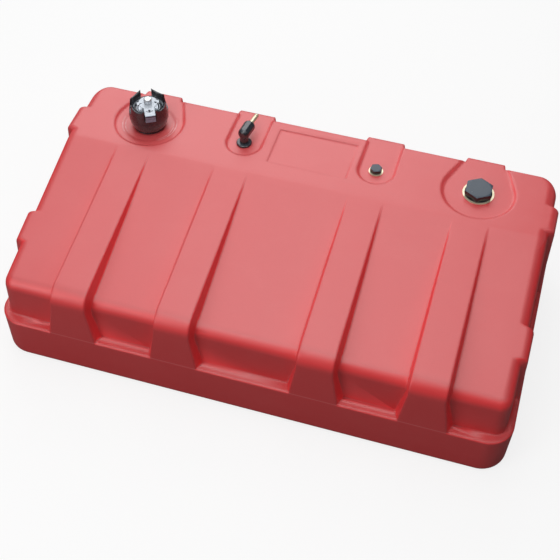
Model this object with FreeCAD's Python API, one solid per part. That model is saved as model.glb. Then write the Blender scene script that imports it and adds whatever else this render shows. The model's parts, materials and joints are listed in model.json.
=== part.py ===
"""Low-profile outboard fuel tank with filler cap, pick-up elbow and two port plugs.

Millimetres, +Z up. The origin is the centre of the underside, X runs along the tank,
-Y is the sloping front and +Y the rear, where the fittings stand.
"""
import FreeCAD, Part
import math
import os

V = FreeCAD.Vector
os.makedirs("parts", exist_ok=True)

# ---- moulding, driving sizes ----
LENGTH = 1000.0
WIDTH = 550.0
HEIGHT = 270.0
WALL = 6.0
SHELF_Z = 97.0
BAND_FLARE = 4.0
BAND_CORNER_R = 50.0
BAND_FOOT_R = 14.0
SHELF_EDGE_R = 4.0
FRONT_INSET = 22.0
REAR_INSET = 21.0
END_INSET = 10.5
DRAFT = 0.02
CREASE_Y = WIDTH / 2 - 185.0
CREASE_R = 50.0
BAY_DROP = 91.0
RIB_DROP = 58.0
FRONT_CORNER_R = 24.0
REAR_CORNER_R = 38.0
FRONT_CREST_R = 28.0
REAR_CREST_R = 9.0
END_CREST_R = 22.0

# ---- ribs ----
END_TO_RIB = 158.0
INNER_RIB_X = 0.137 * LENGTH
RIB_X = (END_TO_RIB - LENGTH / 2, -INNER_RIB_X, INNER_RIB_X, LENGTH / 2 - END_TO_RIB)
RIB_HALF = 33.0
RIB_SPREAD = 11.0
RIB_CREST_R = 38.0
REAR_RIB_HALF = 35.5
REAR_RIB_CREST_R = 9.0
END_RIB_Y = (151.0 - WIDTH / 2, WIDTH / 2 - 131.0)
END_RIB_HALF = 28.0
END_RIB_SPREAD = 8.0
END_RIB_CREST_R = 16.0
END_RIB_RUN = 60.0
FLANK_WALL = 12.0
CREST_REACH = 8.0
CREASE_REACH = 4.0
TUCK = 0.25
DEEP = 1.6
# flank outline: share of the plan width, share of the rib's depth
FLANK = ((0.0, 0.0), (0.12, 0.02), (0.25, 0.10), (0.38, 0.30), (0.5, 0.55),
         (0.62, 0.75), (0.78, 0.91), (0.9, 0.98), (1.0, 1.02))

# ---- pockets, label field ----
POCKET_DEPTH = 6.0
FITTING_Y = WIDTH / 2 - 102.0
ROUND_POCKET_R = 71.0
ROUND_POCKET_MOUTH = 38.0
SLOT_POCKET_HALF = 36.5
SLOT_OFFSET = 1.0
POCKET_LEAN = 2.0
POCKET_SOFT_R = 5.0
DISH_R = 50.0
DISH_RIM_R = 57.0
DISH_DEPTH = 3.0
LABEL_X = (60.0 - INNER_RIB_X, INNER_RIB_X - 50.0)
LABEL_Y = (WIDTH / 2 - 145.0, WIDTH / 2 - 46.0)
LABEL_DEPTH = 2.0

# ---- clearances ----
GAP = 0.3
RUN_GAP = 0.08
SEAT_GAP = 0.05

# ---- filler ----
NECK_HOLE_R = 31.0
NECK_SPIGOT_R = 27.0
NECK_BORE_R = 23.0
NECK_FLANGE_R = 35.0
NECK_FLANGE_T = 4.0
NECK_SPIGOT_H = 18.0
NECK_DEPTH = 26.0
CAP_HEIGHT = 59.5
CAP_FOOT_R = 35.0
CAP_BELLY_R = 40.3
CAP_RIM_R = 36.3
CAP_RIM_WALL = 4.0
CAP_DECK_Z = 36.5
CAP_DECK_T = 5.0
CAP_NOTCH_W = 22.0
CAP_DIP = 7.2
CAP_DIP_HALF = 17.0
CAP_TURN = -62.0
GASKET_T = 2.0
DISH_PLATE_R = 24.0
CAP_HUB_H = 14.5
PLATE_T = 1.5
TAB_DROP = 15.5
KNOB_R = 8.2
KNOB_H = 11.0
STEM_R = 3.0
STEM_SHOULDER = 2.5
VENT_CUP_R = 10.0
VENT_CUP_WALL = 1.7
VENT_CUP_H = 13.0
VENT_FLOOR_T = 2.0
VENT_SEAL_T = 3.0

# ---- pick-up ----
PICKUP_HOLE_R = 13.0
PICKUP_FLANGE_R = 15.5
PICKUP_FLANGE_T = 5.0
ELBOW_STEM_R = 7.5
ELBOW_STEM_LEN = 11.0
ELBOW_NECK_R = 9.0
ELBOW_BORE_R = 4.0
ELBOW_AXIS_Z = 27.0
ELBOW_AF = 23.0
ELBOW_HEEL = 9.0
ELBOW_REACH = 28.0
ELBOW_TURN = -8.0
SEAL_GROOVE = 1.3
SEAL_T = 2.2
NUT_R = 8.5
NUT_T = 3.8
TAIL_R = 5.6
TAIL_LEN = 8.5
BARB_R = 4.7
BARB_BORE_R = 3.0
BARB_LEN = 29.0
BARB_MOUTH = 11.0
BARB_STEP = 0.55
TUBE_R = 5.0
TUBE_WALL = 1.0
TUBE_FOOT_Z = 22.0

# ---- plugs ----
SMALL_HOLE_R = 12.0
SMALL_BUSH_R = 14.5
SMALL_THREAD_R = 8.2
SMALL_AF = 21.0
SMALL_HEAD_H = 7.5
SMALL_SHANK = 12.0
LARGE_HOLE_R = 28.0
LARGE_BUSH_R = 31.0
LARGE_THREAD_R = 23.8
LARGE_AF = 50.0
LARGE_HEAD_H = 12.5
LARGE_SHANK = 16.0
BUSH_PROUD = 1.4
BUSH_DEPTH = 17.0
WASHER_T = 1.2

FLOOR_Z = HEIGHT - POCKET_DEPTH
CAP_X = RIB_X[0] + 1.0
ELBOW_X = RIB_X[1]
SMALL_X = RIB_X[2]
LARGE_X = RIB_X[3]


# ---------------------------------------------------------------- helpers
def cyl(x, y, z0, z1, r):
    return Part.makeCylinder(r, z1 - z0, V(x, y, z0))


def ring(x, y, z0, z1, r_out, r_in):
    return cyl(x, y, z0, z1, r_out).cut(cyl(x, y, z0 - 1, z1 + 1, r_in))


def box(x0, x1, y0, y1, z0, z1):
    return Part.makeBox(x1 - x0, y1 - y0, z1 - z0, V(x0, y0, z0))


def face(points):
    return Part.Face(Part.makePolygon(list(points) + [points[0]]))


def revolve(x, y, profile):
    """Solid of revolution about the vertical through (x, y) from (radius, z) points."""
    pts = [V(x + r, y, z) for r, z in profile]
    return face(pts).revolve(V(x, y, 0), V(0, 0, 1), 360)


def hexagon(x, y, z0, z1, across_flats, turn):
    r = across_flats / math.sqrt(3)
    pts = [V(x + r * math.cos(math.radians(turn + 60 * k)),
             y + r * math.sin(math.radians(turn + 60 * k)), z0) for k in range(6)]
    return face(pts).extrude(V(0, 0, z1 - z0))


def rounded(solid, groups):
    """Fillet several edge groups with a radius each in one operation."""
    doc = FreeCAD.newDocument()
    base = doc.addObject("Part::Feature", "base")
    base.Shape = solid
    fillet = doc.addObject("Part::Fillet", "fillet")
    fillet.Base = base
    table = []
    for radius, wanted in groups:
        for i, edge in enumerate(solid.Edges, 1):
            if wanted(edge):
                table.append((i, radius, radius))
    fillet.Edges = table
    doc.recompute()
    out = fillet.Shape.copy()
    FreeCAD.closeDocument(doc.Name)
    return out


def save(name, shape):
    shape = shape.removeSplitter()
    assert shape.isValid(), name
    assert len(shape.Solids) >= 1, name
    shape.exportStep("parts/%s.step" % name)
    print(name, len(shape.Solids), "solid", round(shape.Volume / 1000.0, 2), "cm3")


# ---------------------------------------------------------------- moulding
def corner(q, u, v, r):
    """Start, middle and end of the arc of radius r that rounds q between u and v."""
    half = u.getAngle(v) / 2
    middle = (u + v).normalize() * (r / math.sin(half) - r)
    reach = r / math.tan(half)
    return [q + u * reach, q + middle, q + v * reach]


def closed_wire(points, arcs):
    """Closed wire through the points; the indices in arcs are middles of arcs."""
    edges = []
    count = len(points)
    i = 0
    while i < count:
        if i + 1 in arcs:
            edges.append(Part.Arc(points[i], points[i + 1], points[i + 2]).toShape())
            i += 2
        else:
            edges.append(Part.makeLine(points[i], points[(i + 1) % count]))
            i += 1
    return Part.Wire(edges)


def front_crest_point(inset, drop, tuck):
    """Sharp meeting point of front wall and slope, wall foot, and both directions."""
    slope = drop / (CREASE_Y + WIDTH / 2)
    top = HEIGHT - tuck
    foot = V(0, -WIDTH / 2 + inset + tuck, SHELF_Z - 3)
    y = (foot.y + DRAFT * (top - slope * CREASE_Y - foot.z)) / (1 - DRAFT * slope)
    down = V(0, -DRAFT, -1).normalize()
    rise = V(0, 1, slope).normalize()
    return V(0, y, top - slope * (CREASE_Y - y)), foot, down, rise


def crease_arc(rise, tuck):
    return corner(V(0, CREASE_Y, HEIGHT - tuck), -rise, V(0, 1, 0), CREASE_R)


def upper_body(t):
    """The part above the shelf, between the ribs, set in by the wall where t > 0."""
    y_rear = WIDTH / 2 - REAR_INSET - t
    x_end = LENGTH / 2 - END_INSET - t
    z_low = SHELF_Z - 20
    crest, foot, down, rise = front_crest_point(FRONT_INSET, BAY_DROP, t)
    outline = [crest + down * ((z_low - crest.z) / down.z), crest] + crease_arc(rise, t)
    outline += [V(0, y_rear, HEIGHT - t), V(0, y_rear, z_low)]
    outline = [V(-x_end, q.y, q.z) for q in outline]
    solid = Part.Face(closed_wire(outline, (3,))).extrude(V(2 * x_end, 0, 0))

    def upright(e):
        b = e.BoundBox
        return b.ZLength > 50 and b.XLength < 1

    def front_upright(e):
        return upright(e) and e.CenterOfMass.y < 0

    def rear_upright(e):
        return upright(e) and e.CenterOfMass.y > 0

    def front_crest(e):
        c = e.CenterOfMass
        return e.BoundBox.XLength > 100 and c.y < foot.y + 20 and c.z > SHELF_Z

    def rear_crest(e):
        c = e.CenterOfMass
        return e.BoundBox.XLength > 100 and abs(c.y - y_rear) < 1 and c.z > SHELF_Z

    def end_crest(e):
        b = e.BoundBox
        return b.XLength < 1 and b.YLength > 10 and e.CenterOfMass.z > SHELF_Z

    k = t * 0.9
    return rounded(solid, [
        (FRONT_CORNER_R - k, front_upright),
        (REAR_CORNER_R - k, rear_upright),
        (FRONT_CREST_R - k, front_crest),
        (REAR_CREST_R - k, rear_crest),
        (END_CREST_R - k, end_crest),
    ])


def band(t):
    """The base band with its rounded foot and shelf."""
    low = LENGTH / 2 - t
    high = low + BAND_FLARE
    hy = WIDTH / 2 - t
    side = face([V(-low, -hy, t), V(low, -hy, t), V(high, -hy, SHELF_Z - t), V(-high, -hy, SHELF_Z - t)])
    solid = side.extrude(V(0, 2 * hy, 0))
    solid = rounded(solid, [(BAND_CORNER_R - t, lambda e: e.BoundBox.ZLength > 50)])
    foot = max(BAND_FOOT_R - t, 3)
    edge = SHELF_EDGE_R if t == 0 else 1.0
    return rounded(solid, [
        (foot, lambda e: abs(e.BoundBox.ZMax - t) < 0.01),
        (edge, lambda e: abs(e.BoundBox.ZMin - (SHELF_Z - t)) < 0.01),
    ])


def soft_rib(profile, arcs, reaches, half, spread, place, t):
    """Rib with soft flanks.

    profile(depth) gives points in (0, out, z) for a depth from 0 on the crown to 1 on
    the wall between ribs. reaches holds the flank's plan width at each point, spread how
    far the flank runs out towards the shelf. place(across, point, index) puts a point of
    the rib into the tank.
    """
    last = len(reaches) - 1

    def station(side, f, depth, flat):
        points = profile(depth)
        z_crest = points[2].z
        out = []
        for k, p in enumerate(points):
            flare = 0.0
            if k in (0, 1, last):
                flare = spread * (z_crest - p.z) / (z_crest - SHELF_Z)
            across = flat if flat else half + f * reaches[k] + flare
            out.append(place(side * across, p, k))
        return closed_wire(out, arcs)

    flank = FLANK if t == 0 else FLANK[::3] + FLANK[-1:]
    buried = half + max(reaches) + spread + 8
    sides = []
    faces = []
    for side in (-1, 1):
        wires = [station(side, f, depth, 0) for f, depth in flank]
        faces += Part.makeLoft(wires, False, t > 0).Faces
        cap = station(side, 0, DEEP, buried)
        faces += Part.makeLoft([wires[-1], cap], False, True).Faces
        faces.append(Part.Face(cap))
        sides.append(wires[0])
    faces += Part.makeLoft(sides, False, True).Faces
    shell = Part.makeShell(faces)
    shell.sewShape(0.001)
    solid = Part.Solid(shell)
    if solid.Volume < 0:
        solid.reverse()
    return solid


def front_rib(x, t):
    """Rib over the sloping top and down the front; it fades out at the crease."""
    tuck = TUCK + t
    z_low = SHELF_Z - 15 - t

    def profile(depth):
        drop = RIB_DROP + depth * (BAY_DROP - RIB_DROP)
        r = RIB_CREST_R + depth * (FRONT_CREST_R - RIB_CREST_R) - 0.9 * t
        q, foot, down, rise = front_crest_point(depth * FRONT_INSET, drop, tuck)
        y_end = CREASE_Y + 25
        return [V(0, foot.y + 6, z_low), foot] + corner(q, down, rise, r) + crease_arc(rise, tuck) + [
            V(0, y_end, HEIGHT - tuck), V(0, y_end, z_low)]

    def place(across, p, k):
        return V(x + across, p.y, p.z)

    wall = FLANK_WALL
    crest = CREST_REACH
    top = CREASE_REACH
    reaches = (wall, wall, crest, crest, crest, top, top, top, top, wall)
    return soft_rib(profile, (3, 6), reaches, RIB_HALF - 0.8 * t, RIB_SPREAD, place, t)


def wall_profile(inset, crest_r, top, tuck, length, z_low, draft):
    """Rib profile on a plain wall: out is measured from the band's face inwards."""
    foot = -inset - tuck
    z_foot = SHELF_Z - 3
    down = V(0, draft, -1).normalize()
    q = V(0, foot - draft * (top - z_foot), top)
    crest = corner(q, down, V(0, -1, 0), crest_r)
    return [V(0, foot - 6, z_low), V(0, foot, z_foot)] + crest + [
        V(0, -length, top), V(0, -length, z_low)]


def rear_rib(x, half, t):
    """Rib on the rear wall, its top level with the pocket floor."""

    def profile(depth):
        inset = depth * REAR_INSET
        r = REAR_RIB_CREST_R - 0.5 * t
        return wall_profile(inset, r, FLOOR_Z - t, TUCK + t, REAR_INSET + 60, SHELF_Z - 15 - t, DRAFT)

    def place(across, p, k):
        return V(x + across, WIDTH / 2 + p.y, p.z)

    wall = FLANK_WALL
    reaches = (wall, wall, wall - 2, wall - 3, wall - 4, wall - 4, wall)
    return soft_rib(profile, (3,), reaches, half - 0.8 * t, RIB_SPREAD, place, t)


def end_rib(y, side, t):
    """Rib on an end wall, its top running out into the upper surface."""
    slope = BAY_DROP / (CREASE_Y + WIDTH / 2)

    def profile(depth):
        inset = depth * END_INSET
        r = END_RIB_CREST_R + depth * (END_CREST_R - END_RIB_CREST_R) - 0.9 * t
        return wall_profile(inset, r, HEIGHT - TUCK - t, TUCK + t, END_RIB_RUN, SHELF_Z - 15 - t, 0)

    def place(across, p, k):
        fall = slope * max(CREASE_Y - (y + across), 0) if k in (2, 3, 4, 5) else 0
        return V(side * (LENGTH / 2 + p.y), y + across, p.z - fall)

    wall = FLANK_WALL - 1
    reaches = (wall, wall, wall - 1, wall - 1.5, wall - 2, wall - 2, wall)
    return soft_rib(profile, (3,), reaches, END_RIB_HALF - 0.8 * t, END_RIB_SPREAD, place, t)


def slot_outline(x, grow, z):
    """Pocket with a round front end, open at the rear; grow moves it all outwards."""
    half = SLOT_POCKET_HALF + grow
    c = V(x + SLOT_OFFSET, FITTING_Y - 2, z)
    back = V(0, WIDTH / 2 + 20 - c.y, 0)
    side = V(half, 0, 0)
    arc = Part.Arc(c + side, c + V(0, -half, 0), c - side).toShape()
    return Part.Wire([arc, Part.makeLine(c - side, c - side + back),
                      Part.makeLine(c - side + back, c + side + back),
                      Part.makeLine(c + side + back, c + side)])


def round_outline(x, grow, z):
    """Round pocket whose sides run in to a narrower mouth; grow moves it all outwards."""
    c = V(x, FITTING_Y, z)
    r = ROUND_POCKET_R + grow
    mouth = V(ROUND_POCKET_MOUTH, WIDTH / 2 - FITTING_Y, 0)
    lean = math.atan2(mouth.y, mouth.x) - math.acos(ROUND_POCKET_R / mouth.Length)
    out = V(math.cos(lean), math.sin(lean), 0)
    right = c + out * r
    end = c + mouth + out * grow
    arc = Part.Arc(right, c + V(0, -r, 0), V(2 * x - right.x, right.y, z)).toShape()
    return Part.Wire([arc, Part.makeLine(V(2 * x - right.x, right.y, z), V(2 * x - end.x, end.y, z)),
                      Part.makeLine(V(2 * x - end.x, end.y, z), end), Part.makeLine(end, right)])


def pocket_cutter(outline, z, t):
    """Cutter for one pocket: leaning walls, soft at the floor and at the rim."""
    low = outline(t - POCKET_LEAN, z)
    rim = HEIGHT if t == 0 else z + POCKET_DEPTH
    high = outline(t + POCKET_LEAN, rim)
    well = Part.makeLoft([low, high], True, True)
    if t > 0:
        return well
    plate = Part.Face(outline(16.0, rim)).extrude(V(0, 0, 12))
    tool = well.fuse(plate).removeSplitter()
    soft = (POCKET_SOFT_R, lambda e: (
        e.BoundBox.ZLength < 0.01 and e.BoundBox.YMin < WIDTH / 2 - 30
        and abs(e.BoundBox.ZMax - z) < 0.01))

    def rim_edge(e):
        if e.BoundBox.ZLength > 0.01 or abs(e.BoundBox.ZMax - rim) > 0.01:
            return False
        return any(abs(v.Point.z - z) < 1 for f in tool.ancestorsOfType(e, Part.Face)
                   for v in f.Vertexes) and e.BoundBox.YMin < WIDTH / 2 - 30

    return rounded(tool, [soft, (POCKET_SOFT_R, rim_edge)])


def pockets(t):
    """Cutters for the four pockets; t lowers and widens them for the inner wall."""
    out = []
    z = FLOOR_Z - t
    for x in (CAP_X, LARGE_X):
        out.append(pocket_cutter(
            lambda grow, level, x=x: round_outline(x, grow, level), z, t))
    for x in (ELBOW_X, SMALL_X):
        out.append(pocket_cutter(lambda grow, level, x=x: slot_outline(x, grow, level), z, t))
    low = z - DISH_DEPTH
    rim = DISH_RIM_R + t
    dish = revolve(CAP_X, FITTING_Y, [(0, low), (DISH_R + t, low), (rim, z), (rim, z + 3), (0, z + 3)])
    out.append(rounded(dish, [(4.0, lambda e: abs(e.BoundBox.ZMax - low) < 0.01)]))
    return out


def label_field():
    low = HEIGHT - LABEL_DEPTH
    plan = box(LABEL_X[0], LABEL_X[1], LABEL_Y[0], LABEL_Y[1], low, HEIGHT + 5)
    return rounded(plan, [(3.0, lambda e: e.BoundBox.ZLength > 5)])


def form(t):
    """The closed outer form, or with t > 0 the space inside the wall."""
    parts = [band(t)]
    for x in RIB_X:
        parts.append(front_rib(x, t))
        parts.append(rear_rib(x, REAR_RIB_HALF, t))
    for y in END_RIB_Y:
        for side in (-1, 1):
            parts.append(end_rib(y, side, t))
    if t > 0:
        hx = LENGTH / 2 - END_INSET - t
        hy = WIDTH / 2 - FRONT_INSET - t
        throat = box(-hx, hx, -hy, hy - 3, SHELF_Z - t - 20, SHELF_Z + 10)
        parts.append(rounded(throat, [(FRONT_CORNER_R - t, lambda e: e.BoundBox.ZLength > 20)]))
    body = upper_body(t).fuse(parts)
    return body.cut(pockets(t), 0.0001).removeSplitter()


def tank_shell():
    outer = form(0.0).cut(label_field())
    inner = form(WALL)
    shell = outer.cut(inner)
    ports = (
        (CAP_X, NECK_HOLE_R, NECK_HOLE_R + 9, NECK_DEPTH - DISH_DEPTH + 4, FLOOR_Z - DISH_DEPTH),
        (ELBOW_X, PICKUP_HOLE_R, PICKUP_HOLE_R + 8, BUSH_DEPTH + 5, FLOOR_Z),
        (SMALL_X, SMALL_HOLE_R, SMALL_HOLE_R + 8, BUSH_DEPTH + 5, FLOOR_Z),
        (LARGE_X, LARGE_HOLE_R, LARGE_HOLE_R + 9, BUSH_DEPTH + 5, FLOOR_Z),
    )
    for x, bore, boss, depth, z in ports:
        shell = shell.fuse(cyl(x, FITTING_Y, z - depth, z - 1, boss))
    for x, bore, boss, depth, z in ports:
        shell = shell.cut(cyl(x, FITTING_Y, z - depth - 30, z + 30, bore))
    return shell


# ---------------------------------------------------------------- filler
def filler_neck():
    z = FLOOR_Z - DISH_DEPTH
    top = z + NECK_FLANGE_T
    tube = cyl(CAP_X, FITTING_Y, z - NECK_DEPTH, z, NECK_HOLE_R - SEAT_GAP)
    flange = cyl(CAP_X, FITTING_Y, z, top, NECK_FLANGE_R)
    spigot = cyl(CAP_X, FITTING_Y, top, top + NECK_SPIGOT_H, NECK_SPIGOT_R)
    bore = cyl(CAP_X, FITTING_Y, z - NECK_DEPTH - 1, top + NECK_SPIGOT_H + 1, NECK_BORE_R)
    return tube.fuse([flange, spigot]).cut(bore)


CAP_Z = FLOOR_Z - DISH_DEPTH + NECK_FLANGE_T + GASKET_T
CAP_TOP = CAP_Z + CAP_HEIGHT
DECK_Z = CAP_Z + CAP_DECK_Z
PLATE_Z = DECK_Z + CAP_HUB_H
KNOB_Z = PLATE_Z + PLATE_T + 0.4
VENT_Z = DECK_Z - CAP_DECK_T - VENT_CUP_H
CAP_AXIS = V(CAP_X, FITTING_Y, 0)


def facing(shape, turn):
    """Turn a piece built with its front towards +X about the filler axis."""
    out = shape.copy()
    out.rotate(CAP_AXIS, V(0, 0, 1), turn)
    return out


def cap_gasket():
    return ring(CAP_X, FITTING_Y, CAP_Z - GASKET_T, CAP_Z, CAP_FOOT_R - 1.5, NECK_SPIGOT_R + GAP)


def cap_collar():
    """Barrel-shaped cap body with four notches, open over the spigot and over its deck."""
    foot = CAP_FOOT_R
    belly = CAP_BELLY_R
    rim = CAP_RIM_R
    z = CAP_Z
    outer = revolve(CAP_X, FITTING_Y, [
        (0, z), (foot - 1.5, z), (foot, z + 1.5), (foot + 1.9, z + 6), (belly - 1.4, z + 13),
        (belly - 0.3, z + 19), (belly, z + 24), (belly - 0.3, z + 30), (belly - 1.1, z + 37),
        (belly - 2.4, z + 45), (rim, CAP_TOP), (0, CAP_TOP)])
    low = cyl(CAP_X, FITTING_Y, z - 1, DECK_Z - CAP_DECK_T, NECK_SPIGOT_R + 1.0)
    high = cyl(CAP_X, FITTING_Y, DECK_Z, CAP_TOP + 1, rim - CAP_RIM_WALL)
    body = outer.cut(low).cut(high)
    half = CAP_NOTCH_W / 2
    rise = (CAP_DIP ** 2 + CAP_DIP_HALF ** 2) / (2 * CAP_DIP)
    tools = []
    for k in range(2):
        notch = box(CAP_X - 60, CAP_X + 60, FITTING_Y - half, FITTING_Y + half, DECK_Z, CAP_TOP + 1)
        tools.append(facing(notch, CAP_TURN + 90 * k))
        dip = Part.makeCylinder(rise, 120, V(CAP_X - 60, FITTING_Y, CAP_TOP - CAP_DIP + rise), V(1, 0, 0))
        tools.append(facing(dip, CAP_TURN + 45 + 90 * k))
    for tool in tools:
        body = body.cut(tool)
    body = body.cut(cyl(CAP_X, FITTING_Y, z, CAP_TOP, STEM_R + RUN_GAP))
    return body.cut(cyl(CAP_X + STEM_R + 2.2, FITTING_Y, z, CAP_TOP, 0.8))


def cap_liner():
    """Inner ring standing on the deck inside the rim."""
    r = CAP_RIM_R - CAP_RIM_WALL - GAP
    return ring(CAP_X, FITTING_Y, DECK_Z, DECK_Z + 3.0, r, r - 3.2)


def cap_dish():
    """Bright dish on the deck with a hub that carries the latch plate."""
    z = DECK_Z
    r = DISH_PLATE_R
    return revolve(CAP_X, FITTING_Y, [
        (STEM_R + 1, z), (r - 1, z), (r, z + 1), (r, z + 4.2), (r - 1.0, z + 4.8), (r - 3.6, z + 2.4),
        (13.0, z + 2.0), (11.5, z + 3.5), (11.0, PLATE_Z), (STEM_R + 1, PLATE_Z)])


def latch_plate():
    """Bright plate on the hub; its long arm folds down over the cap body."""
    z = PLATE_Z
    top = z + PLATE_T
    x = CAP_X
    y = FITTING_Y
    arm = CAP_NOTCH_W / 2 - 0.7
    reach = CAP_BELLY_R - 0.1
    plate = cyl(x, y, z, top, 19.0)
    plate = plate.fuse([
        box(x, x + reach + PLATE_T, y - arm, y + arm, z, top),
        box(x + reach, x + reach + PLATE_T, y - arm, y + arm, z - TAB_DROP, top),
        box(x - 4, x + 4, y - 22.5, y + 22.5, z, top),
    ]).removeSplitter()
    plate = rounded(plate, [(1.2, lambda e: (
        e.BoundBox.YLength > 15 and e.BoundBox.XLength < 0.01
        and e.CenterOfMass.x > x + reach and e.CenterOfMass.z > z + 1))])
    for side in (-1, 1):
        plate = plate.cut(cyl(x + 2, y + side * 15.0, z - 1, top + 1, 3.0))
    plate = plate.cut(cyl(x + 25, y, z - 1, top + 1, 2.6))
    plate = plate.cut(box(x + 25, x + 31, y - 1.2, y + 1.2, z - 1, top + 1))
    plate = plate.cut(cyl(x, y, z - 1, top + 1, STEM_R + 1.0))
    return facing(plate, CAP_TURN)


def vent_knob():
    z = KNOB_Z
    r = KNOB_R
    h = KNOB_H
    knob = revolve(CAP_X, FITTING_Y, [
        (0, z), (r - 1.0, z), (r, z + 1.0), (r, z + h - 2.4), (r - 0.8, z + h - 0.9),
        (r - 2.6, z + h - 0.2), (r - 4.5, z + h), (0, z + h)])
    return knob.cut(cyl(CAP_X, FITTING_Y, z - 1, z + 6, STEM_R))


def vent_stem():
    """Spindle from the knob through the deck, with a shoulder on the seal below."""
    low = VENT_Z + VENT_FLOOR_T + 0.2
    shoulder = VENT_Z + VENT_FLOOR_T + VENT_SEAL_T
    stem = cyl(CAP_X, FITTING_Y, low, KNOB_Z + 6, STEM_R)
    return stem.fuse(cyl(CAP_X, FITTING_Y, shoulder, shoulder + 2, STEM_R + STEM_SHOULDER))


def vent_seal():
    low = VENT_Z + VENT_FLOOR_T
    return ring(CAP_X, FITTING_Y, low, low + VENT_SEAL_T, STEM_R + STEM_SHOULDER + 1.5, STEM_R + SEAT_GAP)


def vent_seat():
    """Cup under the deck; the seal closes the hole in its floor."""
    deck = VENT_Z + VENT_CUP_H
    cup = cyl(CAP_X, FITTING_Y, VENT_Z, deck, VENT_CUP_R)
    cup = cup.cut(cyl(CAP_X, FITTING_Y, VENT_Z + VENT_FLOOR_T, deck + 1, VENT_CUP_R - VENT_CUP_WALL))
    return cup.cut(cyl(CAP_X, FITTING_Y, VENT_Z - 1, VENT_Z + VENT_FLOOR_T + 1, STEM_R + 0.8))


# ---------------------------------------------------------------- pick-up
def pickup_bush():
    """Brass bush through the boss, holding the dip tube below and the flange above."""
    z = FLOOR_Z
    bush = cyl(ELBOW_X, FITTING_Y, z - BUSH_DEPTH, z, PICKUP_HOLE_R - SEAT_GAP)
    return bush.cut(cyl(ELBOW_X, FITTING_Y, z - BUSH_DEPTH - 1, z + 1, ELBOW_STEM_R + GAP))


def pickup_flange():
    z = FLOOR_Z
    body = revolve(ELBOW_X, FITTING_Y, [
        (0, z), (PICKUP_FLANGE_R - 0.8, z), (PICKUP_FLANGE_R, z + 0.8), (PICKUP_FLANGE_R, z + 3.4),
        (PICKUP_FLANGE_R - 1.6, z + PICKUP_FLANGE_T), (0, z + PICKUP_FLANGE_T)])
    return body.cut(cyl(ELBOW_X, FITTING_Y, z - 1, z + PICKUP_FLANGE_T + 1, ELBOW_STEM_R + RUN_GAP))


def turned(shape):
    """Swing a piece built along +Y into the elbow's direction."""
    shape.rotate(V(ELBOW_X, FITTING_Y, 0), V(0, 0, 1), ELBOW_TURN)
    return shape


def bar_y(y0, y1, r, z):
    return Part.makeCylinder(r, y1 - y0, V(ELBOW_X, FITTING_Y + y0, z), V(0, 1, 0))


def eight_y(y0, y1, across_flats, z):
    """Eight-sided bar along the barrel with a flat on top."""
    r = across_flats / 2 / math.cos(math.pi / 8)
    pts = [V(ELBOW_X + r * math.cos(math.radians(22.5 + 45 * k)), FITTING_Y + y0,
             z + r * math.sin(math.radians(22.5 + 45 * k))) for k in range(8)]
    return face(pts).extrude(V(0, y1 - y0, 0))


def turned_bar(z, profile):
    """Solid of revolution about the barrel's axis from (along, radius) points."""
    pts = [V(ELBOW_X + r, FITTING_Y + y, z) for y, r in profile]
    return face(pts).revolve(V(ELBOW_X, FITTING_Y, z), V(0, 1, 0), 360)


def pickup_elbow():
    """Elbow with a round stem, an eight-sided barrel and a drilled way through."""
    z = FLOOR_Z + ELBOW_AXIS_Z
    stem_low = FLOOR_Z - ELBOW_STEM_LEN
    neck_low = FLOOR_Z + PICKUP_FLANGE_T + 0.4
    half = ELBOW_AF / 2
    stem = cyl(ELBOW_X, FITTING_Y, stem_low, z - 4, ELBOW_STEM_R)
    neck = revolve(ELBOW_X, FITTING_Y, [
        (0, neck_low), (ELBOW_NECK_R, neck_low), (ELBOW_NECK_R - 0.4, z - 14),
        (ELBOW_NECK_R + 0.4, z - 8), (ELBOW_NECK_R, z), (0, z)])
    heel = -ELBOW_HEEL
    shape = turned_bar(z, [
        (heel, 0), (heel, half * 0.52), (heel + 1.6, half * 0.76), (heel + 4.4, half * 0.95),
        (heel + 8, half * 1.04), (ELBOW_REACH - 2.5, half * 1.06), (ELBOW_REACH, half * 0.93),
        (ELBOW_REACH, 0)])
    barrel = eight_y(heel - 1, ELBOW_REACH, ELBOW_AF, z).common(shape)
    body = stem.fuse([neck, barrel])
    way = cyl(ELBOW_X, FITTING_Y, stem_low - 1, z, ELBOW_BORE_R)
    cross = bar_y(0, ELBOW_REACH + 1, ELBOW_BORE_R, z)
    socket = bar_y(ELBOW_REACH - TAIL_LEN - 0.5, ELBOW_REACH + 1, TAIL_R + GAP, z)
    groove = ring(ELBOW_X, FITTING_Y, *seal_levels(), ELBOW_STEM_R + 1, ELBOW_STEM_R - SEAL_GROOVE)
    return turned(body.cut(way.fuse([cross, socket])).cut(groove))


def seal_levels():
    middle = FLOOR_Z - ELBOW_STEM_LEN / 2
    return middle - SEAL_T / 2, middle + SEAL_T / 2


def elbow_seal():
    """Ring in the stem's groove that seals against the bush."""
    r_out = ELBOW_STEM_R + GAP - SEAT_GAP
    return ring(ELBOW_X, FITTING_Y, *seal_levels(), r_out, ELBOW_STEM_R - SEAL_GROOVE + SEAT_GAP)


def barb_nut():
    """Brass ring nut between the barrel and the hose barb."""
    z = FLOOR_Z + ELBOW_AXIS_Z
    start = ELBOW_REACH
    nut = turned_bar(z, [
        (start, 0), (start, NUT_R), (start + NUT_T - 0.8, NUT_R), (start + NUT_T, NUT_R - 0.9),
        (start + NUT_T, 0)])
    return turned(nut.cut(bar_y(start - 1, start + NUT_T + 1, TAIL_R + GAP, z)))


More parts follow.
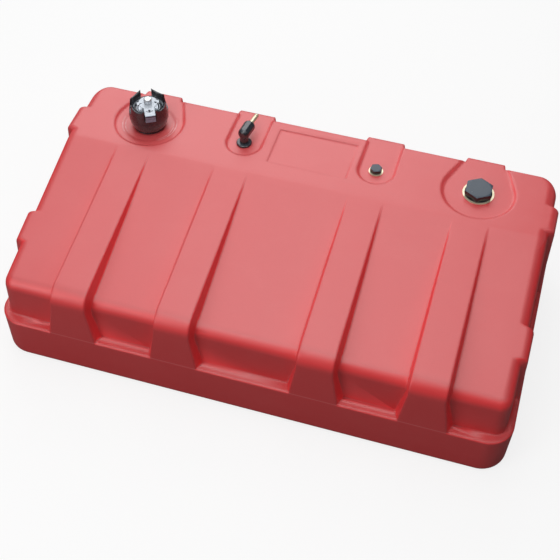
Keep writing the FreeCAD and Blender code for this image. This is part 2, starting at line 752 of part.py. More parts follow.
def hose_barb():
    """Brass barb: tail in the elbow, a plain land, then low barbs at the mouth."""
    z = FLOOR_Z + ELBOW_AXIS_Z
    start = ELBOW_REACH + NUT_T
    end = start + BARB_LEN
    land = end - BARB_MOUTH
    root = BARB_R - BARB_STEP
    body = turned_bar(z, [
        (ELBOW_REACH - TAIL_LEN, 0), (ELBOW_REACH - TAIL_LEN, TAIL_R), (start, TAIL_R),
        (start, BARB_R), (land, BARB_R), (land + 3.6, root), (land + 3.6, BARB_R),
        (land + 4.4, BARB_R), (land + 8.0, root - 0.2), (land + 8.0, BARB_R), (land + 8.8, BARB_R),
        (end, root - 0.4), (end, 0)])
    return turned(body.cut(bar_y(ELBOW_REACH - TAIL_LEN - 1, end + 1, BARB_BORE_R, z)))


def pickup_tube():
    top = FLOOR_Z - ELBOW_STEM_LEN - 1.0
    return ring(ELBOW_X, FITTING_Y, TUBE_FOOT_Z, top, TUBE_R, TUBE_R - TUBE_WALL)


def tube_ferrule():
    """Collar that carries the dip tube in the lower end of the bush."""
    low = FLOOR_Z - BUSH_DEPTH
    r_out = ELBOW_STEM_R + GAP - SEAT_GAP
    return ring(ELBOW_X, FITTING_Y, low, low + 4.5, r_out, TUBE_R + SEAT_GAP)


def strainer():
    """Round gauze cup on the foot of the dip tube, with slots round its side."""
    low = TUBE_FOOT_Z - 12
    high = TUBE_FOOT_Z + 16
    cup = cyl(ELBOW_X, FITTING_Y, low, high, TUBE_R + 5)
    cup = cup.cut(cyl(ELBOW_X, FITTING_Y, low + 2, TUBE_FOOT_Z, TUBE_R + 3.5))
    cup = cup.cut(cyl(ELBOW_X, FITTING_Y, TUBE_FOOT_Z - 1, high + 1, TUBE_R + SEAT_GAP))
    for k in range(6):
        slot = box(-1.5, 1.5, TUBE_R, TUBE_R + 8, low + 4, TUBE_FOOT_Z - 3)
        slot.rotate(V(0, 0, 0), V(0, 0, 1), 60 * k)
        slot.translate(V(ELBOW_X, FITTING_Y, 0))
        cup = cup.cut(slot)
    return cup


# ---------------------------------------------------------------- plugs
def bush(x, flange_r, hole_r, thread_r):
    """Brass bush moulded into a boss, its flange on the pocket floor."""
    z = FLOOR_Z
    body = cyl(x, FITTING_Y, z - BUSH_DEPTH, z, hole_r - SEAT_GAP)
    body = body.fuse(cyl(x, FITTING_Y, z, z + BUSH_PROUD, flange_r))
    return body.cut(cyl(x, FITTING_Y, z - BUSH_DEPTH - 1, z + 3, thread_r + GAP))


def washer(x, r, thread_r):
    z = FLOOR_Z + BUSH_PROUD
    return ring(x, FITTING_Y, z, z + WASHER_T, r, thread_r + GAP)


def plug(x, thread_r, across_flats, head, shank_len, turn):
    """Hexagon-headed plug with a slightly domed crown and a hollow threaded shank."""
    z = FLOOR_Z + BUSH_PROUD + WASHER_T
    tip = across_flats / math.sqrt(3)
    hexa = hexagon(x, FITTING_Y, z, z + head, across_flats, turn)
    crown = revolve(x, FITTING_Y, [
        (0, z), (tip + 1, z), (tip + 1, z + head - 1.2), (tip * 0.93, z + head - 0.5),
        (tip * 0.8, z + head - 0.1), (0, z + head)])
    low = FLOOR_Z + BUSH_PROUD - shank_len
    shank = cyl(x, FITTING_Y, low, z, thread_r)
    body = hexa.common(crown).fuse(shank)
    return body.cut(cyl(x, FITTING_Y, low - 1, z - 2, thread_r * 0.72))


# ---------------------------------------------------------------- build
save("tank_shell", tank_shell())
save("filler_neck", filler_neck())
save("cap_gasket", cap_gasket())
save("cap_collar", cap_collar())
save("cap_liner", cap_liner())
save("cap_dish", cap_dish())
save("latch_plate", latch_plate())
save("vent_knob", vent_knob())
save("vent_stem", vent_stem())
save("vent_seal", vent_seal())
save("vent_seat", vent_seat())
save("pickup_bush", pickup_bush())
save("pickup_flange", pickup_flange())
save("pickup_elbow", pickup_elbow())
save("elbow_seal", elbow_seal())
save("barb_nut", barb_nut())
save("hose_barb", hose_barb())
save("pickup_tube", pickup_tube())
save("tube_ferrule", tube_ferrule())
save("strainer", strainer())
save("small_bush", bush(SMALL_X, SMALL_BUSH_R, SMALL_HOLE_R, SMALL_THREAD_R))
save("small_washer", washer(SMALL_X, SMALL_THREAD_R + 2.6, SMALL_THREAD_R))
save("small_plug", plug(SMALL_X, SMALL_THREAD_R, SMALL_AF, SMALL_HEAD_H, SMALL_SHANK, 20.0))
save("large_bush", bush(LARGE_X, LARGE_BUSH_R, LARGE_HOLE_R, LARGE_THREAD_R))
save("large_washer", washer(LARGE_X, LARGE_THREAD_R + 3.2, LARGE_THREAD_R))
save("large_plug", plug(LARGE_X, LARGE_THREAD_R, LARGE_AF, LARGE_HEAD_H, LARGE_SHANK, 31.0))
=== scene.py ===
"""Red outboard fuel tank: the looks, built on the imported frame. Metres, +Z up."""
import json
import math

import bpy
from mathutils import Matrix, Vector

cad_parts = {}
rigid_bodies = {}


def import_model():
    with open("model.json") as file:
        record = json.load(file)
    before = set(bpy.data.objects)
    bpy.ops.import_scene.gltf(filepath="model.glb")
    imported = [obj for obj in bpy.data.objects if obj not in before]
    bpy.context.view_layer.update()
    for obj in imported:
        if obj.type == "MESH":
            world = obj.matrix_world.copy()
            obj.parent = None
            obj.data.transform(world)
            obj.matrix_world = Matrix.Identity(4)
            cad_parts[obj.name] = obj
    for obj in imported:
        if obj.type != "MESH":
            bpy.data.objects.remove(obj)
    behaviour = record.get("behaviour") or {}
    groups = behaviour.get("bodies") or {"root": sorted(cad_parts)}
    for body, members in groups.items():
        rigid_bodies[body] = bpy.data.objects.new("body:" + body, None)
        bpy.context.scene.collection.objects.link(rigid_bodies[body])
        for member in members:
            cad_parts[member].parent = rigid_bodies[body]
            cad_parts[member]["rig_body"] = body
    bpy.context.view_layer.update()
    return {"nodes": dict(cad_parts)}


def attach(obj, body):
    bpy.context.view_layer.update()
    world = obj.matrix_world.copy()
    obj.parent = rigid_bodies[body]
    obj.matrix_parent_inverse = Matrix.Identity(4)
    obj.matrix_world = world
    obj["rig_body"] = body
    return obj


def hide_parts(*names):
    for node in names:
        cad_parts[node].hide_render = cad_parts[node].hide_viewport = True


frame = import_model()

nodes = frame["nodes"]
scene = bpy.context.scene
scene.view_settings.view_transform = "Standard"

# Places on the tank.
FILLER = (-0.341, 0.173)  # the filler's upright axis, x and y
ARM_TURN = math.radians(62)  # brings the latch arm on to +X
FOLD_START = 0.0411  # along the arm, where its folded end begins
SLOT_CENTRE = 0.0215  # along the arm, the middle of the curved slot's arc
SLOT_START = 0.0255  # along the arm, where that slot begins
HIGHLIGHT_ARC_RIGHT = (0.97, -0.24)  # direction of the long painted highlight arc from the filler
HIGHLIGHT_ARC_LEFT = (-0.92, -0.38)  # direction of the short one
EDGE_SOFTNESS = 0.007  # radius over which the red moulding's edges are softened
MERGE = 0.000002  # vertices nearer than this are one

# Bands for Finish.near: middle, half width and soft edge.
POCKET_EDGES = (0.267, 0.0045, 0.001)  # height, between pocket floor and plateau
SHELF_HIGHLIGHT_LINE = (0.0965, 0.0004, 0.0011)  # height, just under the shelf, of a painted highlight line
UPPER_FACES = (0.27, 0.14, 0.03)  # height
RIBBED_LENGTH = (0.0, 0.44, 0.02)  # along the tank
OUTER_HIGHLIGHT_RING = (0.0555, 0.0007, 0.0012)  # from the filler's axis, the outer painted highlight ring
INNER_HIGHLIGHT_RING = (0.0500, 0.0006, 0.0012)  # from the filler's axis, the inner painted highlight ring
DISH_RECESS_SHADE = (0.0205, 0.0004, 0.0009)  # from the filler's axis, of the painted shade in the dish's recess
FOLD_LINE = (0.3165, 0.0008, 0.0006)  # height, just under the latch plate, of the painted shade along the fold
FOLD_CREASE = (0.3105, 0.0004, 0.0008)  # height, on the folded end, of a fainter painted shade
CURVED_SLOT = (0.0078, 0.0006, 0.0007)  # from the slot's centre


# ---------------------------------------------------------------- shader maths
class Value:
    """A shader socket that takes part in Python arithmetic."""

    def __init__(self, finish, socket):
        self.finish = finish
        self.socket = socket

    def maths(self, operation, *values):
        return self.finish.node(
            "ShaderNodeMath", {"operation": operation}, dict(enumerate(values)))[0]

    def __add__(self, other):
        return self.maths("ADD", self, other)

    def __sub__(self, other):
        return self.maths("SUBTRACT", self, other)

    def __rsub__(self, other):
        return self.maths("SUBTRACT", other, self)

    def __mul__(self, other):
        return self.maths("MULTIPLY", self, other)

    def __truediv__(self, other):
        return self.maths("DIVIDE", self, other)

    def __pow__(self, other):
        return self.maths("POWER", self, other)

    __radd__ = __add__
    __rmul__ = __mul__


class Outputs:
    """The outputs of a node, by name or number."""

    def __init__(self, finish, node):
        self.finish = finish
        self.node = node

    def __getitem__(self, key):
        return Value(self.finish, self.node.outputs[key])


class Finish:
    """A material under construction."""

    def __init__(self, name, colour, roughness, metallic=0.0, **constants):
        self.material = bpy.data.materials.new(name)
        self.material.use_nodes = True
        self.tree = self.material.node_tree
        self.shader = self.tree.nodes["Principled BSDF"]
        self.place = self.node("ShaderNodeTexCoord", {}, {})["Object"]
        self.material.diffuse_color = (*colour, 1.0)
        self.put("Base Color", (*colour, 1.0))
        self.put("Roughness", roughness)
        self.put("Metallic", metallic)
        for key, value in constants.items():
            self.put(key.replace("_", " "), value)

    def put(self, key, value):
        """Set or link one input of the shader."""
        self.fill(self.shader.inputs[key], value)

    def fill(self, socket, value):
        """Link a value to a socket, or set a constant on it."""
        if isinstance(value, Value):
            self.tree.links.new(value.socket, socket)
        else:
            socket.default_value = value

    def node(self, kind, settings, sockets):
        """Add a node, with its settings made first and then its sockets."""
        made = self.tree.nodes.new(kind)
        for key, value in settings.items():
            if key == "stops":
                ramp = made.color_ramp
                while len(ramp.elements) < len(value):
                    ramp.elements.new(0.5)
                for stop, (where, shade) in zip(ramp.elements, value):
                    stop.position = where
                    stop.color = (shade, shade, shade, 1.0)
            else:
                setattr(made, key, value)
        for key, value in sockets.items():
            self.fill(made.inputs[key], value)
        return Outputs(self, made)

    def mapped(self, scale=(1, 1, 1), turn=(0, 0, 0)):
        """The place, turned and stretched."""
        return self.node("ShaderNodeMapping", {}, {
            "Vector": self.place, "Scale": scale, "Rotation": turn})["Vector"]

    def noise(self, scale, detail, rough=0.5, distortion=0.0, vector=None):
        return self.node("ShaderNodeTexNoise", {}, {
            "Vector": vector or self.place, "Scale": scale, "Detail": detail,
            "Roughness": rough, "Distortion": distortion})["Fac"]

    def cells(self, scale):
        """Distance to the middle of the nearest small cell."""
        return self.node("ShaderNodeTexVoronoi", {}, {
            "Vector": self.place, "Scale": scale})["Distance"]

    def ramp(self, value, *stops):
        """A grey ramp from (position, level) stops."""
        return self.node("ShaderNodeValToRGB", {"stops": stops}, {"Fac": value})["Color"]

    def split(self, vector):
        """A vector's X, Y and Z."""
        parts = self.node("ShaderNodeSeparateXYZ", {}, {"Vector": vector})
        return parts["X"], parts["Y"], parts["Z"]

    def facing(self):
        """How far the surface faces along the tank and up, each from -1 to 1."""
        endways, _, up = self.split(self.node("ShaderNodeTexCoord", {}, {})["Normal"])
        return endways, up

    def near(self, value, middle, half, soft):
        """One where value is within half of middle, falling to nothing over soft."""
        offset = value - middle
        return self.node("ShaderNodeMapRange", {}, {
            "Value": offset.maths("ABSOLUTE", offset), "From Min": half, "From Max": half + soft,
            "To Min": 1.0, "To Max": 0.0})["Result"]

    def from_filler(self):
        """Distance from the filler's axis, and the x and y from it."""
        x, y, _ = self.split(self.place)
        x = x - FILLER[0]
        y = y - FILLER[1]
        return (x * x + y * y) ** 0.5, x, y

    def blend(self, factor, first, second):
        """Mix two colours."""
        made = self.tree.nodes.new("ShaderNodeMix")
        made.data_type = "RGBA"
        self.fill(made.inputs["Factor"], factor)
        colours = [s for s in made.inputs if s.type == "RGBA"]
        for socket, colour in zip(colours, (first, second)):
            self.fill(socket, (*colour, 1.0) if isinstance(colour, tuple) else colour)
        return Value(self, [s for s in made.outputs if s.type == "RGBA"][0])

    def bumps(self, *layers, soft=0.0):
        """Stack (height, depth in metres, strength) layers into the normal, over softened edges."""
        normal = None
        if soft:
            normal = self.node("ShaderNodeBevel", {"samples": 6}, {"Radius": soft})["Normal"]
        for height, depth, strength in layers:
            sockets = {"Height": height, "Distance": depth, "Strength": strength}
            if normal:
                sockets["Normal"] = normal
            normal = self.node("ShaderNodeBump", {}, sockets)["Normal"]
        self.put("Normal", normal)


# ---------------------------------------------------------------- finishes
def clouded_red(f, cloud, mottle, scuff):
    """The red itself, with clouds, haze, specks and fine scuffs."""
    haze = f.ramp(f.noise(11.0, 6.0, 0.62, 0.4), (0.45, 0.0), (0.8, 1.0))
    speck = f.ramp(f.noise(520.0, 2.0, 0.5), (0.60, 0.0), (0.74, 0.5))
    base = f.blend(cloud, (0.675, 0.031, 0.035), (0.725, 0.037, 0.041))
    base = f.blend(mottle * 0.35, base, (0.74, 0.048, 0.053))
    base = f.blend(haze * 0.12, base, (0.76, 0.13, 0.13))
    base = f.blend(speck, base, (0.62, 0.026, 0.030))
    return f.blend(scuff * 0.08, base, (0.80, 0.24, 0.23))


def painted_light_by_form(f, base, cloud):
    """Painted light by how faces turn: brighter red on crests, flanks and pocket edges, a pale
    highlight line under the shelf and a pale sheen on top.
    """
    endways, up = f.facing()
    x, _, z = f.split(f.place)
    pocket = f.near(z, *POCKET_EDGES)
    # Painted light: a brighter, purer red where faces turn between up and sideways, over crests and
    # creases.
    painted_crest_light = f.ramp(up, (0.16, 0.0), (0.46, 1.0), (0.72, 1.0), (0.90, 0.0)) * (1 - pocket)
    base = f.blend(painted_crest_light * 0.8, base, (0.98, 0.034, 0.040))
    # Painted light: pocket walls between floor and plateau lightened to a brighter red.
    painted_pocket_light = pocket * f.ramp(up, (0.75, 0.7), (0.95, 0.0))
    base = f.blend(painted_pocket_light, base, (0.96, 0.10, 0.11))
    # Painted light: rib flanks that face along the tank painted a brighter, purer red.
    painted_flank_light = f.ramp(endways * endways, (0.25, 0.0), (0.8, 1.0))
    painted_flank_light = painted_flank_light * f.near(x, *RIBBED_LENGTH) * (1 - pocket)
    base = f.blend(painted_flank_light * 0.7, base, (0.97, 0.036, 0.044))
    # Painted highlight: a thin pale line on sideways faces just under the shelf.
    painted_shelf_highlight = f.near(z, *SHELF_HIGHLIGHT_LINE) * f.ramp(up, (0.2, 1.0), (0.5, 0.0))
    base = f.blend(painted_shelf_highlight * 0.22, base, (0.98, 0.45, 0.46))
    # Painted sheen: a pale wash over faces that turn up, stronger towards the left where the light
    # is stronger.
    pale_wash = f.ramp(up, (0.60, 0.0), (0.97, 1.0)) * f.near(z, *UPPER_FACES)
    return f.blend(pale_wash * (0.030 + 0.018 * cloud - 0.032 * x), base, (0.86, 0.86, 0.88))


def painted_highlights_round_filler(f, base):
    """Broken, pale arcs round the filler: painted highlights on the rim of its recess."""
    away, x, y = f.from_filler()
    rings = f.near(away, *OUTER_HIGHLIGHT_RING) + 0.8 * f.near(away, *INNER_HIGHLIGHT_RING)
    right = f.ramp((x * HIGHLIGHT_ARC_RIGHT[0] + y * HIGHLIGHT_ARC_RIGHT[1]) / away, (0.72, 0.0), (0.97, 1.0))
    left = f.ramp((x * HIGHLIGHT_ARC_LEFT[0] + y * HIGHLIGHT_ARC_LEFT[1]) / away, (0.85, 0.0), (1.0, 1.0))
    arcs = right * 0.5 + left * 0.35
    broken = f.ramp(f.noise(130.0, 3.0, 0.6), (0.34, 0.3), (0.56, 1.0))
    return f.blend(rings * arcs * broken, base, (0.95, 0.72, 0.72))


def red_polyethylene():
    """Rotomoulded polyethylene: soft sheen, faint orange peel, light handling marks, and painted
    light and highlights in its colour.
    """
    f = Finish("red_polyethylene", (0.70, 0.034, 0.038), 0.42, Specular_IOR_Level=1.0, IOR=1.6)
    cloud = f.noise(3.2, 3.0, 0.5)
    mottle = f.noise(38.0, 5.0, 0.6)
    along = f.mapped((3.0, 95.0, 40.0), (0.0, 0.0, 0.35))
    scuff = f.ramp(f.noise(7.0, 3.0, 0.55, 0.0, along), (0.66, 0.0), (0.74, 1.0))
    base = clouded_red(f, cloud, mottle, scuff)
    base = painted_light_by_form(f, base, cloud)
    f.put("Base Color", painted_highlights_round_filler(f, base))
    f.put("Roughness", 0.37 + 0.10 * cloud + 0.06 * mottle + 0.05 * scuff)
    f.bumps(
        (f.noise(9.0, 2.0, 0.4), 0.0012, 0.10),
        (f.noise(240.0, 3.0, 0.5), 0.00016, 0.45),
        (f.noise(900.0, 2.0, 0.5), 0.00004, 0.45),
        soft=EDGE_SOFTNESS,
    )
    return f.material


def black_moulding():
    """Moulded black plastic with a fine leathery grain, and a painted bluish-grey reflection where
    it faces up.
    """
    colour = (0.010, 0.009, 0.011)
    f = Finish(
        "black_moulding", colour, 0.3,
        Specular_IOR_Level=0.7, Coat_Weight=0.5, Coat_Roughness=0.18)
    cloud = f.noise(60.0, 4.0, 0.55)
    # Dust: pale, rougher specks.
    pale_wash = f.ramp(f.noise(420.0, 4.0, 0.6), (0.58, 0.0), (0.78, 1.0))
    base = f.blend(cloud, colour, (0.018, 0.018, 0.024))
    base = f.blend(pale_wash * 0.2, base, (0.06, 0.058, 0.062))
    # Painted reflection: faces that turn up are lifted to a bluish grey.
    up = f.facing()[1]
    f.put("Base Color", f.blend(f.ramp(up, (0.35, 0.0), (0.95, 0.7)), base, (0.050, 0.062, 0.082)))
    f.put("Roughness", 0.20 + 0.14 * cloud + 0.14 * pale_wash)
    f.bumps((f.cells(1500.0), 0.00004, 0.35), (f.noise(180.0, 3.0), 0.0001, 0.25))
    return f.material


def plug_plastic():
    """Slate-grey glass-filled plastic, slightly clouded, with a painted bluish reflection on top
    and painted shade at the sides.
    """
    f = Finish("plug_plastic", (0.022, 0.030, 0.040), 0.3, Specular_IOR_Level=0.6)
    cloud = f.noise(85.0, 5.0, 0.6, 0.3)
    streak = f.noise(26.0, 4.0, 0.55, 0.2, f.mapped((9.0, 1.0, 1.0), (0.0, 0.0, 0.6)))
    base = f.blend(cloud, (0.012, 0.020, 0.032), (0.026, 0.042, 0.062))
    base = f.blend(f.ramp(streak, (0.5, 0.0), (0.72, 1.0)) * 0.35, base, (0.048, 0.070, 0.092))
    # Painted reflection on top, bluer, and painted shade on the sides, nearly black.
    up = f.facing()[1]
    base = f.blend(f.ramp(up, (0.90, 0.0), (0.99, 0.8)), base, (0.040, 0.062, 0.092))
    base = f.blend(f.ramp(up, (0.2, 0.8), (0.6, 0.0)), base, (0.006, 0.007, 0.009))
    f.put("Base Color", base)
    f.put("Roughness", 0.17 + 0.16 * cloud)
    f.bumps((f.noise(700.0, 3.0), 0.00005, 0.4), (f.noise(90.0, 3.0), 0.00015, 0.3))
    return f.material


def bright_plate(name, metallic):
    """Blue-white zinc plate with fine polishing lines and small stains, and its base colour."""
    f = Finish(name, (0.56, 0.60, 0.66), 0.28, metallic)
    lines = f.noise(60.0, 5.0, 0.6, 0.0, f.mapped((40.0, 1.5, 4.0), (0.0, 0.0, 0.9)))
    stain = f.ramp(f.noise(190.0, 4.0, 0.6), (0.50, 0.0), (0.75, 1.0))
    base = f.blend(lines, (0.48, 0.53, 0.60), (0.66, 0.70, 0.76))
    base = f.blend(stain * 0.4, base, (0.30, 0.35, 0.42))
    f.put("Roughness", 0.20 + 0.14 * lines + 0.14 * stain)
    f.bumps((lines, 0.00003, 0.35))
    return f, base


def dish_plate():
    """The dish, with shade painted in the recess between its hub and its wall."""
    f, base = bright_plate("dish_plate", 0.75)
    recess_shade = f.near(f.from_filler()[0], *DISH_RECESS_SHADE) * 0.85
    f.put("Base Color", f.blend(recess_shade, base, (0.02, 0.03, 0.04)))
    return f.material


def latch_plating():
    """The latch, dark in its curved slot, with painted shade along its fold and a darker, bluer
    painted shade on its folded end.
    """
    f, base = bright_plate("latch_plating", 0.2)
    dark = (0.012, 0.016, 0.025)
    along, across, height = f.split(f.mapped(turn=(0.0, 0.0, ARM_TURN)))
    along = along - (FILLER[0] * math.cos(ARM_TURN) - FILLER[1] * math.sin(ARM_TURN))
    across = across - (FILLER[0] * math.sin(ARM_TURN) + FILLER[1] * math.cos(ARM_TURN))
    folded = along.maths("GREATER_THAN", along, FOLD_START)
    # Painted shade: the folded end painted darker and bluer.
    base = f.blend(folded * 0.8, base, (0.16, 0.24, 0.34))
    # Painted shade along the fold and its crease.
    fold_shade = f.near(height, *FOLD_LINE) + 0.35 * f.near(height, *FOLD_CREASE)
    base = f.blend(folded * fold_shade, base, dark)
    past = along - SLOT_CENTRE
    slot = f.near((past * past + across * across) ** 0.5, *CURVED_SLOT)
    slot = slot * along.maths("GREATER_THAN", along, SLOT_START)
    f.put("Base Color", f.blend(slot * 0.9, base, dark))
    return f.material


def knob_plate():
    """The vent knob, whiter than the other plated pieces."""
    f, base = bright_plate("knob_plate", 0.8)
    f.put("Base Color", f.blend(0.6, base, (0.80, 0.80, 0.80)))
    return f.material


def brass():
    """Pale machined brass with turning lines and a little tarnish."""
    f = Finish("brass", (0.92, 0.82, 0.60), 0.32, 0.7)
    turning = f.noise(90.0, 3.0, 0.6, 0.0, f.mapped((1.0, 22.0, 22.0)))
    tarnish = f.ramp(f.noise(150.0, 5.0, 0.6), (0.45, 0.0), (0.75, 1.0))
    base = f.blend(turning, (0.88, 0.77, 0.53), (0.97, 0.90, 0.70))
    f.put("Base Color", f.blend(tarnish * 0.3, base, (0.60, 0.45, 0.22)))
    f.put("Roughness", 0.26 + 0.12 * turning + 0.14 * tarnish)
    f.bumps((turning, 0.00003, 0.4))
    return f.material


def seal_rubber():
    """Matt black rubber with a fine bloom."""
    f = Finish("seal_rubber", (0.02, 0.02, 0.021), 0.75, Specular_IOR_Level=0.4)
    bloom = f.noise(160.0, 5.0, 0.6)
    f.put("Base Color", f.blend(bloom, (0.016, 0.016, 0.017), (0.045, 0.044, 0.043)))
    f.put("Roughness", 0.66 + 0.2 * bloom)
    f.bumps((f.noise(1100.0, 3.0), 0.00005, 0.4))
    return f.material


def grey_moulding():
    """Mid-grey moulded ring with a soft gloss."""
    f = Finish("grey_moulding", (0.22, 0.25, 0.28), 0.35)
    cloud = f.noise(120.0, 4.0, 0.55)
    f.put("Base Color", f.blend(cloud, (0.17, 0.20, 0.23), (0.29, 0.32, 0.35)))
    f.put("Roughness", 0.28 + 0.14 * cloud)
    f.bumps((f.noise(900.0, 2.0), 0.00004, 0.3))
    return f.material


def drawn_aluminium():
    """Drawn tube with fine lines along it."""
    f = Finish("drawn_aluminium", (0.74, 0.75, 0.77), 0.32, 1.0)
    lines = f.noise(300.0, 4.0, 0.6, 0.0, f.mapped((1.0, 1.0, 0.02)))
    f.put("Base Color", f.blend(lines, (0.66, 0.67, 0.69), (0.80, 0.81, 0.82)))
    f.put("Roughness", 0.26 + 0.16 * lines)
    f.bumps((lines, 0.00003, 0.3))
    return f.material


def steel_gauze():
    """Fine woven gauze drawn as crossing wires."""
    f = Finish("steel_gauze", (0.55, 0.56, 0.58), 0.4, 1.0)
    level, slanting = [
        f.node("ShaderNodeTexWave", {"wave_type": "BANDS", "bands_direction": direction}, {
            "Vector": f.place, "Scale": 420.0})["Fac"]
        for direction in ("Z", "DIAGONAL")
    ]
    wires = level.maths("MAXIMUM", level, slanting)
    f.put("Base Color", f.blend(wires, (0.12, 0.12, 0.13), (0.66, 0.67, 0.69)))
    f.put("Roughness", 0.55 - 0.2 * wires)
    f.bumps((wires, 0.0001, 0.5))
    return f.material


# ---------------------------------------------------------------- modelling helpers
def only(piece):
    """Make one piece the selected and active one."""
    bpy.ops.object.select_all(action="DESELECT")
    piece.select_set(True)
    bpy.context.view_layer.objects.active = piece


def even_shading(piece):
    """Let the broad faces set the normals along soft edges."""
    even = piece.modifiers.new("even_shading", "WEIGHTED_NORMAL")
    even.mode = "FACE_AREA"
    even.weight = 90
    even.keep_sharp = True


def skin(node, name, material, degrees):
    """A merged copy of a CAD piece that stands for it, smooth but for edges over degrees."""
    source = nodes[node]
    piece = bpy.data.objects.new(name, source.data.copy())
    scene.collection.objects.link(piece)
    only(piece)
    bpy.ops.object.mode_set(mode="EDIT")
    bpy.ops.mesh.select_all(action="SELECT")
    bpy.ops.mesh.remove_doubles(threshold=MERGE)
    bpy.ops.object.mode_set(mode="OBJECT")
    piece.data.materials.clear()
    piece.data.materials.append(material)
    bpy.ops.object.shade_smooth_by_angle(angle=math.radians(degrees))
    even_shading(piece)
    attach(piece, source["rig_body"])
    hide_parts(node)
    return piece


def pick(piece, wanted):
    """Enter edit mode with the wanted vertices selected."""
    only(piece)
    bpy.ops.object.mode_set(mode="EDIT")
    bpy.ops.mesh.select_all(action="DESELECT")
    bpy.ops.mesh.select_mode(type="VERT")
    bpy.ops.object.mode_set(mode="OBJECT")
    for vertex in piece.data.vertices:
        vertex.select = wanted(vertex.co)
    bpy.ops.object.mode_set(mode="EDIT")


def draw_in(piece):
    """Draw the rim of a piece under the filler cap in towards the filler's axis."""
    rim_start = 0.0335
    rim_height = 0.26
    factor = 0.86
    pick(piece, lambda p: math.hypot(p.x - FILLER[0], p.y - FILLER[1]) > rim_start)
    bpy.ops.transform.resize(
        value=(factor, factor, 1), orient_type="GLOBAL", center_override=(*FILLER, rim_height))
    bpy.ops.object.mode_set(mode="OBJECT")


# ---------------------------------------------------------------- view and stage
VIEW_WIDTH = 560  # the view is square; its lengths are in pixels
VIEW_MIDDLE = (272.92, 243.36)
FOCAL = 1172.08
SENSOR = 36.0  # millimetres
EYE = (0.4111, -1.4765, 1.8953)
YAW = 0.286
PITCH = 0.839
ROLL = 0.011

AROUND = 0.06  # strength of the light from all round
FLOOR_SIZE = 40
FLOOR_DROP = 0.0004  # keeps the floor just clear of the underside
FLOOR_GREY = (0.2, 0.2, 0.2)
FLOOR_PALE = (0.95, 0.95, 0.95)  # where the camera sees it
FLOOR_GLOW = 0.82  # share of plain white where the camera sees it
LAMP_AIM = (0, 0, 0.15)
LAMPS = (  # name, place, size and watts
    ("overhead", (-0.06, 0.12, 2.6), (2.2, 2.2), 26),
    ("rear_sky", (-0.75, 2.1, 1.9), (2.6, 1.9), 31.5),
    ("high_left", (-2.0, 0.3, 2.0), (1.2, 1.2), 3),
    ("high_right", (1.7, -0.9, 2.4), (1.2, 1.2), 6.5),
    ("front_high", (-0.4, -1.5, 2.5), (1.6, 1.2), 15),
    ("front_fill", (-1.7, -2.3, 1.3), (1.6, 1.4), 18),
)


def camera():
    """A camera in front, to the right and above, looking down at the tank."""
    level = Vector((-math.sin(YAW), math.cos(YAW), 0))
    ahead = level * math.cos(PITCH) - Vector((0, 0, math.sin(PITCH)))
    flat_right = Vector((math.cos(YAW), math.sin(YAW), 0))
    steep_up = flat_right.cross(ahead)
    right = flat_right * math.cos(ROLL) + steep_up * math.sin(ROLL)
    up = steep_up * math.cos(ROLL) - flat_right * math.sin(ROLL)
    lens = bpy.data.cameras.new("camera")
    lens.sensor_width = SENSOR
    lens.lens = FOCAL / VIEW_WIDTH * SENSOR
    lens.shift_x = (VIEW_WIDTH / 2 - VIEW_MIDDLE[0]) / VIEW_WIDTH
    lens.shift_y = (VIEW_MIDDLE[1] - VIEW_WIDTH / 2) / VIEW_WIDTH
    lens.clip_end = 60.0
    holder = bpy.data.objects.new("camera", lens)
    scene.collection.objects.link(holder)
    holder.matrix_world = Matrix((
        (right.x, up.x, -ahead.x, EYE[0]),
        (right.y, up.y, -ahead.y, EYE[1]),
        (right.z, up.z, -ahead.z, EYE[2]),
        (0, 0, 0, 1)))
    scene.camera = holder


def surroundings():
    """A little light from all round, and a plain backdrop for the camera."""
    world = bpy.data.worlds.new("surroundings")
    scene.world = world
    world.use_nodes = True
    tree = world.node_tree
    plain = tree.nodes["Background"]
    plain.inputs["Color"].default_value = (1, 1, 1, 1)
    plain.inputs["Strength"].default_value = AROUND
    seen = tree.nodes.new("ShaderNodeBackground")
    path = tree.nodes.new("ShaderNodeLightPath")
    mixed = tree.nodes.new("ShaderNodeMixShader")
    tree.links.new(path.outputs["Is Camera Ray"], mixed.inputs[0])
    tree.links.new(plain.outputs[0], mixed.inputs[1])
    tree.links.new(seen.outputs[0], mixed.inputs[2])
    tree.links.new(mixed.outputs[0], tree.nodes["World Output"].inputs["Surface"])


def floor():
    """A wide floor that is nearly white to the camera and grey to the tank."""
    bpy.ops.mesh.primitive_plane_add(size=FLOOR_SIZE, location=(0, 0, -FLOOR_DROP))
    sheet = bpy.context.active_object
    sheet.name = "floor"
    paper = Finish("floor_paper", (0.9, 0.9, 0.9), 0.9, Specular_IOR_Level=0.0)
    viewed = paper.node("ShaderNodeLightPath", {}, {})["Is Camera Ray"]
    paper.put("Base Color", paper.blend(viewed, FLOOR_GREY, FLOOR_PALE))
    matt = Value(paper, paper.shader.outputs["BSDF"])
    white = paper.node(
        "ShaderNodeEmission", {}, {"Color": (1, 1, 1, 1), "Strength": 1.0})["Emission"]
    lifted = paper.node("ShaderNodeMixShader", {}, {0: viewed * FLOOR_GLOW, 1: matt, 2: white})[0]
    paper.fill(paper.tree.nodes["Material Output"].inputs["Surface"], lifted)
    sheet.data.materials.append(paper.material)


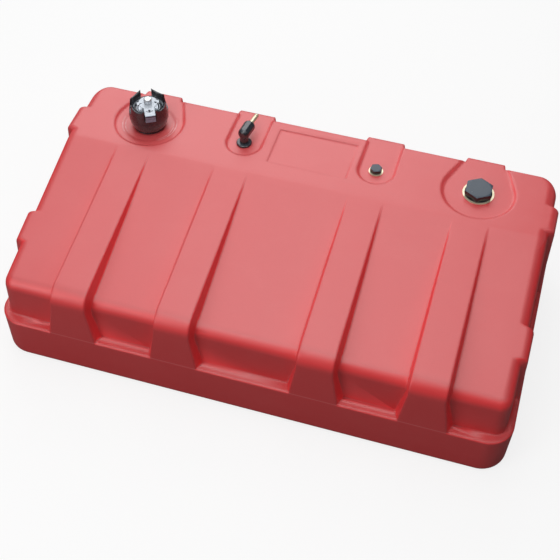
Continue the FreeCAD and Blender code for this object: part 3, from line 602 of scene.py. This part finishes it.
def lamp(name, place, size, power):
    """An oblong lamp that points at the tank."""
    light = bpy.data.lights.new(name, "AREA")
    light.shape = "RECTANGLE"
    light.size, light.size_y = size
    light.energy = power
    holder = bpy.data.objects.new(name, light)
    scene.collection.objects.link(holder)
    holder.location = place
    aim = Vector(LAMP_AIM) - Vector(place)
    holder.rotation_euler = aim.to_track_quat("-Z", "Y").to_euler()


# ---------------------------------------------------------------- pieces
def dress():
    """Stand a finished piece in for every CAD piece."""
    red = red_polyethylene()
    black = black_moulding()
    slate = plug_plastic()
    dish = dish_plate()
    latch = latch_plating()
    knob = knob_plate()
    pale_brass = brass()
    rubber = seal_rubber()
    grey = grey_moulding()
    tube = drawn_aluminium()
    gauze = steel_gauze()
    for node, name, material, degrees in (
        ("tank_shell", "tank_moulding", red, 26),
        ("filler_neck", "neck_insert", black, 32),
        ("cap_gasket", "cap_seal", rubber, 32),
        ("cap_collar", "cap_body", black, 38),
        ("cap_liner", "rim_ring", grey, 32),
        ("cap_dish", "cap_bright_dish", dish, 32),
        ("latch_plate", "cap_latch", latch, 32),
        ("vent_knob", "vent_screw_knob", knob, 40),
        ("vent_stem", "vent_spindle", pale_brass, 32),
        ("vent_seal", "vent_ring", rubber, 32),
        ("vent_seat", "vent_cup", black, 32),
        ("pickup_bush", "elbow_bush", pale_brass, 32),
        ("pickup_flange", "elbow_flange", black, 40),
        ("pickup_elbow", "elbow_body", black, 36),
        ("elbow_seal", "elbow_ring", rubber, 32),
        ("barb_nut", "ring_nut", pale_brass, 32),
        ("hose_barb", "hose_tail", pale_brass, 32),
        ("pickup_tube", "dip_tube", tube, 32),
        ("tube_ferrule", "dip_tube_ferrule", pale_brass, 32),
        ("strainer", "dip_tube_strainer", gauze, 32),
        ("small_bush", "small_port_bush", pale_brass, 32),
        ("small_washer", "small_port_seal", rubber, 32),
        ("small_plug", "small_hex_plug", slate, 25),
        ("large_bush", "large_port_bush", pale_brass, 32),
        ("large_washer", "large_port_seal", rubber, 32),
        ("large_plug", "large_hex_plug", slate, 25),
    ):
        piece = skin(node, name, material, degrees)
        if node in ("filler_neck", "cap_gasket"):
            draw_in(piece)


bpy.ops.object.select_all(action="DESELECT")
camera()
surroundings()
floor()
for name, place, size, power in LAMPS:
    lamp(name, place, size, power)
dress()
